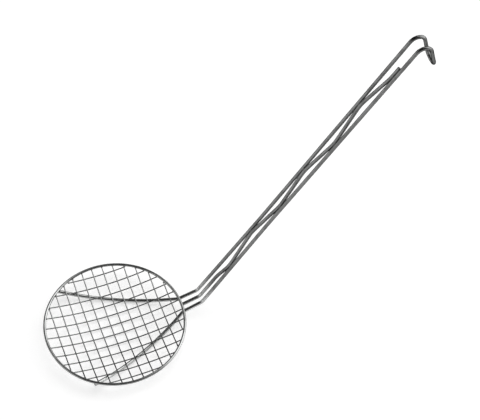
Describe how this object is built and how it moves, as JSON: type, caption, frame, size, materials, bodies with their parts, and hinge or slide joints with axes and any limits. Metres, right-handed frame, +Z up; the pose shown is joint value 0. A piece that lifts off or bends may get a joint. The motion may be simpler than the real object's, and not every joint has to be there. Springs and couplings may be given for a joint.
{
  "type": "kitchen skimmer",
  "caption": "Long-handled kitchen skimmer of welded round wire: a shallow open-mesh dish in a ring rim, on a double-wire handle with a zigzag brace inside and a hook at the end.",
  "frame": {"origin": "under the middle of the whole tool, level with its lowest wire, with the dish's rim level", "axes": "+X from the dish towards the hook, +Y to the left of someone who looks along +X, +Z up out of the dish"},
  "size_m": [0.4344, 0.1632, 0.3719],
  "materials": {
    "rim_steel": "bright plated steel wire, slightly worn",
    "handle_steel": "bright plated steel wire, slightly worn",
    "mesh_steel": "bright plated steel wire, slightly worn"
  },
  "bodies": {
    "root": {"rim_ring": "rim_steel", "handle_wire": "handle_steel", "zigzag_wire": "handle_steel", "mesh_row_01": "mesh_steel", "mesh_row_02": "mesh_steel", "mesh_row_03": "mesh_steel", "mesh_row_04": "mesh_steel", "mesh_row_05": "mesh_steel", "mesh_row_06": "mesh_steel", "mesh_row_07": "mesh_steel", "mesh_row_08": "mesh_steel", "mesh_row_09": "mesh_steel", "mesh_row_10": "mesh_steel", "mesh_row_11": "mesh_steel", "mesh_row_12": "mesh_steel", "mesh_column_01": "mesh_steel", "mesh_column_02": "mesh_steel", "mesh_column_03": "mesh_steel", "mesh_column_04": "mesh_steel", "mesh_column_05": "mesh_steel", "mesh_column_06": "mesh_steel", "mesh_column_07": "mesh_steel", "mesh_column_08": "mesh_steel", "mesh_column_09": "mesh_steel", "mesh_column_10": "mesh_steel", "mesh_column_11": "mesh_steel", "mesh_column_12": "mesh_steel"}
  },
  "joints": []
}
